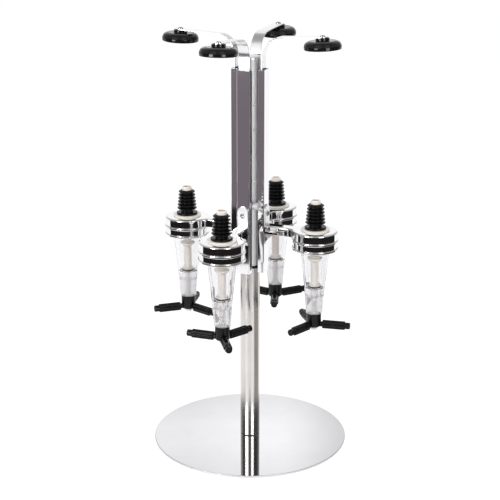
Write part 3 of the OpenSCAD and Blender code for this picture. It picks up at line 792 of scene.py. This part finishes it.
def on_arm(shape):
    """Turns up a shape that is drawn on a level arm, about the middle of the bend."""
    points, faces = shape
    c, s = math.cos(arm_rise), math.sin(arm_rise)
    level = [(x - elbow_r, y, z - elbow_z) for x, y, z in points]
    return [(elbow_r + c * x - s * z, y, elbow_z + s * x + c * z) for x, y, z in level], faces


def strip_shape(edge_r=0.5, edge_steps=3, bend_steps=24, end_steps=16):
    """The strip's flat section carried up its channel, round the bend and out to the round end."""
    tail = span("arm_strip_1")[0][2]
    sweep = math.pi / 2 - arm_rise
    path = [(channel_mid_r, tail + strip_tail_gap, 0), (channel_mid_r, elbow_z, 0)]
    for j in range(1, bend_steps + 1):
        t = sweep * j / bend_steps
        path.append((elbow_r - bend_r * math.cos(t), elbow_z + bend_r * math.sin(t), t))
    x0, z0, t = path[-1]
    end_r = strip_w / 2
    reach = arm_reach - elbow_r
    runs = [reach]
    runs += [reach + end_r * math.sin(math.pi / 2 * j / end_steps) for j in range(1, end_steps)]
    widths = [end_r] * (len(path) + 1)
    widths += [math.sqrt(max(end_r ** 2 - (run - reach) ** 2, 0.01)) for run in runs[1:]]
    path += [(x0 + run * math.cos(arm_rise), z0 + run * math.sin(arm_rise), t) for run in runs]
    loops = []
    for (x, z, t), half in zip(path, widths):
        section = rounded_box(strip_t, 2 * half, min(edge_r, half * 0.9), edge_steps)
        c, s = math.cos(t), math.sin(t)
        loops.append([(x + c * u, v, z - s * u) for u, v in section])
    return loft(loops)


for k in STATIONS:
    piece("arm_strip_%d_bent" % k, at_station(strip_shape(), k), strip_steel, "arm_%d" % k,
          ["arm_strip_%d" % k])


def pad_shape():
    """A dome with a boss above it and a shallow hollow below it."""
    r = pad_d / 2
    top = pad_foot + pad_h
    middle = pad_foot + pad_h / 2
    screw_r = pad_screw_d / 2
    rim_r = r - pad_rim_w
    corners = [
        (screw_r, middle, 0), (screw_r, strip_foot, 0.2), (boss_d / 2, strip_foot, 0.5),
        (boss_d / 2, top, 0.5), (r - pad_dome_w, top, 4.5), (r - pad_dome_cut, top - pad_dome_cut, 5.5),
        (r, top - pad_dome_w, 4.5), (r, pad_foot, 1.4), (rim_r, pad_foot, 0.6),
        (rim_r, pad_foot + pad_hollow, 0.5), (0, pad_foot + pad_hollow, 0), (0, middle, 0)]
    points, faces = lathe(rounded(corners, 6), 128)
    return moved(points, arm_reach, 0, 0), faces


for k in STATIONS:
    piece("pad_%d_moulded" % k, at_station(on_arm(pad_shape()), k), pad_rubber, "arm_%d" % k,
          ["pad_%d" % k])

# Springs: smooth coils wound between the ends of their CAD nodes


def coil(r, z0, z1, turns, flat, steps=16):
    """Middle line of a coil whose end turns lie almost flat."""
    total = turns * steps
    flat_rise = 0.06
    path = []
    for i in range(total + 1):
        t = i / total
        turn = t * turns
        rise = max(0.0, min(1.0, (turn - flat) / (turns - 2 * flat)))
        path.append((r * math.cos(2 * math.pi * turn), r * math.sin(2 * math.pi * turn),
                     z0 + (z1 - z0) * ((1 - flat_rise) * rise + flat_rise * t)))
    return path


for k in STATIONS:
    low, high = span("arm_spring_%d" % k)
    z0, z1 = low[2] + arm_spring_wire / 2, high[2] - arm_spring_wire / 2
    points, faces = wire(coil(arm_spring_r, z0, z1, arm_spring_turns, 0.5, 12), arm_spring_wire, 8)
    shape = at_station((moved(points, channel_mid_r, 0, 0), faces), k)
    made = piece("arm_spring_%d_wound" % k, shape, wire_steel, None,
                 ["arm_spring_%d" % k], sharp=None)
    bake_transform(made)

    low, high = span("valve_spring_%d" % k)
    z0, z1 = low[2] + valve_spring_wire / 2, high[2] - valve_spring_wire / 2
    points, faces = wire(coil(valve_spring_r, z0, z1, valve_spring_turns, 1.0), valve_spring_wire, 10)
    shape = at_measure((points, faces), k)
    made = piece("valve_spring_%d_wound" % k, shape, wire_steel, None,
                 ["valve_spring_%d" % k], sharp=None)
    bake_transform(made)

# Levers: a hub with three fluted grips

hub_top = span("lever_1")[1][2]
hub_foot = hub_top - hub_h
grip_z = hub_foot + grip_rise


def fluted(count=96):
    """Radius of a grip at each step round it, with its flutes' edges eased."""
    r, groove = grip_d / 2, grip_groove_d / 2
    raw = []
    for j in range(count):
        t = 360 * j / count
        off = (t + 180 / grip_ribs) % (360 / grip_ribs)
        off = math.radians(min(off, 360 / grip_ribs - off))
        across_groove = groove ** 2 - (r * math.sin(off)) ** 2
        raw.append(r * math.cos(off) - math.sqrt(across_groove) if across_groove > 0 else r)
    return [min(raw[j], (raw[j - 1] + 2 * raw[j] + raw[(j + 1) % count]) / 4) for j in range(count)]


def lever_arm():
    """One grip along +X, from inside the hub to its stepped and dished tip."""
    flutes = fluted()
    count = len(flutes)
    start = hub_d / 2 + grip_gap
    end = lever_reach - tip_len
    neck_r, tip_r = grip_rise, tip_d / 2
    edge = quarter(grip_ease, 4)
    rows = [(hub_bore_d, [neck_r] * count), (start, [neck_r] * count)]
    rows += [(start + on, [f - inset for f in flutes]) for inset, on in edge]
    rows += [(end - back, [f - inset for f in flutes]) for back, inset in edge]
    rows.append((end, [tip_r] * count))
    rows += [(lever_reach - back, [tip_r - inset] * count) for back, inset in edge]
    rows.append((lever_reach, [tip_dish_r] * count))
    rows.append((lever_reach - tip_dish_h, [tip_dish_foot_r] * count))
    angles = [2 * math.pi * j / count for j in range(count)]
    return loft([[(s, r * math.cos(t), grip_z + r * math.sin(t)) for t, r in zip(angles, radii)]
                 for s, radii in rows])


def lever_shape(turn):
    """The hub and its three grips, turned about the spindle."""
    bore_r, hub_r = hub_bore_d / 2, hub_d / 2
    hub = lathe(rounded([
        (bore_r, hub_foot, 0.3), (hub_r - hub_chamfer, hub_foot, 0.5),
        (hub_r, hub_foot + hub_chamfer, 0.8), (hub_r, hub_top, 0.8), (bore_r, hub_top, 0.3)], 4), 80)
    points, faces = lever_arm()
    arms = [(spun(points, math.radians(turn + a)), faces) for a in (0, 120, 240)]
    return joined(hub, *arms)


for k in STATIONS:
    piece("lever_%d_moulded" % k, at_measure(lever_shape(lever_turn[k - 1]), k), black_plastic,
          "lever_%d" % k, ["lever_%d" % k])

# CAD nodes whose own shape shows take their finish here

kept = {
    "base_pad": rubber_and_painted_shade, "pole_plug": screw_steel, "base_screw": screw_steel, "mast": tube_steel,
    "column_tube": tube_steel, "column_bushes": white_plastic, "column_cap": satin_chrome,
    "retaining_bolt": blasted_chrome, "bracket_screws": screw_steel,
}
for k in STATIONS:
    kept["pad_screw_%d" % k] = screw_steel
    kept["spindle_%d" % k] = cream_plastic
    kept["seal_%d" % k] = black_rubber
for name, finish in kept.items():
    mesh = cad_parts[name].data
    mesh.materials.clear()
    mesh.materials.append(finish)

# Studio: a white table with soft lights on either side of the camera, and a dark room in front


def shader_node(tree, kind, **inputs):
    """A new node with its inputs set."""
    made = tree.nodes.new(kind)
    for name, value in inputs.items():
        made.inputs[name].default_value = value
    return made


def seen_by_rays(name, camera, reflected, other):
    """A material with a shader each for the camera, for reflections and clear plastic, and for the rest."""
    made = bpy.data.materials.new(name)
    made.use_nodes = True
    tree = made.node_tree
    tree.nodes.clear()
    path = tree.nodes.new("ShaderNodeLightPath")
    either = tree.nodes.new("ShaderNodeMath")
    either.operation = "MAXIMUM"
    tree.links.new(path.outputs["Is Glossy Ray"], either.inputs[0])
    tree.links.new(path.outputs["Is Transmission Ray"], either.inputs[1])
    unseen = tree.nodes.new("ShaderNodeMixShader")
    tree.links.new(either.outputs[0], unseen.inputs[0])
    tree.links.new(other(tree), unseen.inputs[1])
    tree.links.new(reflected(tree), unseen.inputs[2])
    whole = tree.nodes.new("ShaderNodeMixShader")
    tree.links.new(path.outputs["Is Camera Ray"], whole.inputs[0])
    tree.links.new(unseen.outputs[0], whole.inputs[1])
    tree.links.new(camera(tree), whole.inputs[2])
    out = tree.nodes.new("ShaderNodeOutputMaterial")
    tree.links.new(whole.outputs[0], out.inputs["Surface"])
    return made


def glow(colour):
    """Makes a shader that gives off one plain colour."""
    def make(tree):
        return shader_node(tree, "ShaderNodeEmission", Color=(*colour, 1), Strength=1.0).outputs[0]
    return make


def matt(colour):
    """Makes a shader of one matt colour."""
    def make(tree):
        return shader_node(tree, "ShaderNodeBsdfDiffuse", Color=(*colour, 1)).outputs[0]
    return make


def shadowed(tree):
    """White, with the object's shadow on it."""
    both = tree.nodes.new("ShaderNodeAddShader")
    tree.links.new(matt((0.30, 0.30, 0.30))(tree), both.inputs[0])
    tree.links.new(glow((0.85, 0.85, 0.85))(tree), both.inputs[1])
    return both.outputs[0]


def floor_sectors(name, sectors, finish):
    """Flat ring sectors on the floor: inner and outer radius, and bearings from the camera's side."""
    points, faces = [], []
    steps = 48
    for inner, outer, start, end in sectors:
        first = len(points)
        for j in range(steps + 1):
            angle = math.radians(start + (end - start) * j / steps)
            way = towards * math.cos(angle) + across * math.sin(angle)
            points += [(way.x * inner, way.y * inner, floor_z0), (way.x * outer, way.y * outer, floor_z0)]
        for j in range(steps):
            i = first + 2 * j
            faces.append([i, i + 1, i + 3, i + 2])
    mesh = bpy.data.meshes.new(name)
    mesh.from_pydata(points, [], faces)
    mesh.materials.append(finish)
    made = bpy.data.objects.new(name, mesh)
    bpy.context.scene.collection.objects.link(made)


# The floor, in metres and in bearings from the camera's side: a dark card lies in front, beyond the white
# table, and a grey card on the table at the right. The camera sees all of it as white
floor_z0 = -0.0003
floor_r = 6.0
table_r = 0.92
card_r = 1.36
front = (-99, 108)
side = (50, 115)
side_r = (0.17, 0.80)
white = (1.0, 1.0, 1.0)
table_white = (0.88, 0.88, 0.88)
floor_sectors("white_table", [(0.0, table_r, side[1], 360 + side[0]), (0.0, side_r[0], *side),
                              (side_r[1], table_r, *side), (table_r, floor_r, front[1], 360 + front[0])],
              seen_by_rays("white_table", shadowed, glow(white), matt(table_white)))
floor_sectors("grey_card", [(side_r[0], side_r[1], *side)],
              seen_by_rays("grey_card", shadowed, glow((0.34, 0.33, 0.32)), matt(table_white)))
floor_sectors("dark_card", [(table_r, card_r, *front)],
              seen_by_rays("dark_card", glow(white), glow((0.014, 0.012, 0.012)),
                           matt((0.05, 0.05, 0.05))))

# The room that polished metal reflects, by the bearing from the camera's side, in degrees: its walls low
# down, higher up and near the top, and two soft boxes. Only single reflections see the lighter walls near
# the top: a reflection in a reflection, such as the pole's in the plate, keeps the dark front
walls_low = ((-180, 1.0), (-147, 1.0), (-118, 0.82), (-99, 0.55), (-85, 0.15), (-75, 0.05),
             (78, 0.05), (95, 0.16), (114, 0.33), (140, 0.79), (160, 1.0), (180, 1.0))
walls_high = ((-180, 1.0), (-165, 1.0), (-150, 0.5), (-120, 0.3), (-99, 0.08), (-88, 0.03),
              (82, 0.03), (95, 0.06), (114, 0.11), (140, 0.35), (160, 0.9), (165, 1.0), (180, 1.0))
walls_top = ((-180, 1.0), (-165, 1.0), (-150, 0.6), (-120, 0.5),
             (120, 0.5), (150, 0.6), (165, 1.0), (180, 1.0))
boxes = ((-180, 0.0), (-57, 0.0), (-55, 1.0), (-18, 1.0), (-16, 0.0),
         (11.6, 0.0), (13.6, 1.0), (42, 1.0), (44, 0.0), (180, 0.0))
high_from = (math.radians(4), math.radians(18))
top_from = (math.radians(13), math.radians(21))
room_top = 0.35
room_low = (0.163, 0.142, 0.158)
room_fill = 0.58

# Where the ceiling and the horizon begin, as the sine of the height
ceiling_from = (0.70, 0.90)
horizon = (-0.03, 0.03)

# The backdrop that the base plate reflects, by the direction from straight behind and by the height, in
# degrees, and how its edges fade at the sides and below
backdrop = ((-20, 0.90), (-3, 0.90), (-1, 0.97), (0, 1.0), (1.7, 1.0), (2.6, 0.93), (4.4, 0.72),
            (8, 0.70), (20, 0.70))
backdrop_height = ((20, 0.84), (24, 0.88), (25.2, 1.0), (26, 1.0), (28, 0.84), (35, 0.80))
backdrop_sides = (0.80, 0.86)
backdrop_foot = (0.29, 0.36)


def ramp_of(tree, value, stops):
    """Grey levels by a value from 0 to 1."""
    ramp = tree.nodes.new("ShaderNodeValToRGB")
    elements = ramp.color_ramp.elements
    while len(elements) < len(stops):
        elements.new(0.5)
    for element, (place, level) in zip(elements, stops):
        element.position = place
        element.color = (level, level, level, 1)
    tree.links.new(value, ramp.inputs["Fac"])
    return ramp.outputs["Color"]


def studio_room():
    """The world: white to the camera, a room to reflections and clear plastic, a soft fill to the rest."""
    world = bpy.data.worlds.new("studio")
    bpy.context.scene.world = world
    world.use_nodes = True
    world.cycles.sampling_method = "NONE"
    tree = world.node_tree
    tree.nodes.clear()
    place = tree.nodes.new("ShaderNodeTexCoord")

    def along(axis):
        dot = tree.nodes.new("ShaderNodeVectorMath")
        dot.operation = "DOT_PRODUCT"
        dot.inputs[1].default_value = axis
        tree.links.new(place.outputs["Generated"], dot.inputs[0])
        return dot.outputs["Value"]

    def of_two(operation, first, second):
        made = tree.nodes.new("ShaderNodeMath")
        made.operation = operation
        tree.links.new(first, made.inputs[0])
        tree.links.new(second, made.inputs[1])
        return made.outputs[0]

    def step(value, low, high):
        spread = shader_node(tree, "ShaderNodeMapRange", **{"From Min": low, "From Max": high})
        tree.links.new(value, spread.inputs["Value"])
        return spread.outputs["Result"]

    def levels(value, stops):
        low, high = stops[0][0], stops[-1][0]
        spots = [((at - low) / (high - low), level) for at, level in stops]
        return ramp_of(tree, step(value, math.radians(low), math.radians(high)), spots)

    def mixed(factor, first, second):
        mix = tree.nodes.new("ShaderNodeMix")
        mix.data_type = "RGBA"
        tree.links.new(factor, mix.inputs["Factor"])
        for socket, value in ((mix.inputs[6], first), (mix.inputs[7], second)):
            if isinstance(value, tuple):
                socket.default_value = (*value, 1)
            else:
                tree.links.new(value, socket)
        return mix.outputs[2]

    rise = along(Vector((0, 0, 1)))
    height = tree.nodes.new("ShaderNodeMath")
    height.operation = "ARCSINE"
    tree.links.new(rise, height.inputs[0])
    height = height.outputs[0]
    bearing = of_two("ARCTAN2", along(across), along(towards))
    from_behind = of_two("ARCTAN2", along(across), along(-towards))

    room = mixed(step(height, *high_from), levels(bearing, walls_low), levels(bearing, walls_high))
    path = tree.nodes.new("ShaderNodeLightPath")
    upper = mixed(step(height, *top_from), room, levels(bearing, walls_top))
    room = mixed(step(path.outputs["Glossy Depth"], 1.0, 2.0), upper, room)
    behind = of_two("MULTIPLY", levels(from_behind, backdrop), levels(height, backdrop_height))
    rear = of_two("MULTIPLY", step(along(-towards), *backdrop_sides), step(rise, *backdrop_foot))
    room = mixed(levels(bearing, boxes), room, white)
    room = mixed(rear, room, behind)
    room = mixed(step(rise, *ceiling_from), room, (room_top,) * 3)
    room = mixed(step(rise, *horizon), room_low, room)

    clear_ray = path.outputs["Is Transmission Ray"]
    unseen = mixed(of_two("MAXIMUM", path.outputs["Is Glossy Ray"], clear_ray), (room_fill,) * 3, room)
    lit_through = of_two("MULTIPLY", clear_ray, step(path.outputs["Diffuse Depth"], 0.0, 1.0))
    shown = of_two("MAXIMUM", path.outputs["Is Camera Ray"], lit_through)
    back = tree.nodes.new("ShaderNodeBackground")
    out = tree.nodes.new("ShaderNodeOutputWorld")
    tree.links.new(mixed(shown, unseen, white), back.inputs["Color"])
    tree.links.new(back.outputs[0], out.inputs["Surface"])


studio_room()


def soft_light(name, bearing, distance, width, low, high, level):
    """An upright soft light at a bearing from the camera's direction, between two heights."""
    data = bpy.data.lights.new(name, "AREA")
    data.shape = "RECTANGLE"
    data.size = width
    data.size_y = high - low
    data.energy = level * math.pi * width * (high - low)
    made = bpy.data.objects.new(name, data)
    angle = math.radians(bearing)
    spot = (towards * math.cos(angle) + across * math.sin(angle)) * distance
    made.location = (spot.x, spot.y, (low + high) / 2)
    made.rotation_mode = "QUATERNION"
    made.rotation_quaternion = Vector((-spot.x, -spot.y, 0)).to_track_quat("-Z", "Y")
    bpy.context.scene.collection.objects.link(made)
    return made


soft_light("soft_light_left", bearing=-42, distance=2.0, width=0.75, low=0.32, high=0.82, level=11.0)
soft_light("soft_light_right", bearing=30, distance=2.0, width=0.70, low=0.32, high=0.82, level=6.0)

# The light overhead is laid flat and kept out of reflections
overhead = soft_light("soft_light_top", bearing=180, distance=0.01, width=1.6, low=1.0, high=2.6,
                      level=2.2)
overhead.location = (0, 0, 2.4)
overhead.rotation_quaternion = (1, 0, 0, 0)
overhead.visible_glossy = False

camera_data = bpy.data.cameras.new("camera")
camera_data.lens = camera_lens
camera_data.sensor_width = camera_sensor
camera = bpy.data.objects.new("camera", camera_data)
back = towards * math.cos(camera_elevation) + Vector((0, 0, math.sin(camera_elevation)))
camera.location = camera_aim + back * camera_distance
camera.rotation_mode = "QUATERNION"
camera.rotation_quaternion = (-back).to_track_quat("-Z", "Y")
bpy.context.scene.collection.objects.link(camera)
bpy.context.scene.camera = camera
bpy.context.scene.view_settings.view_transform = "Standard"
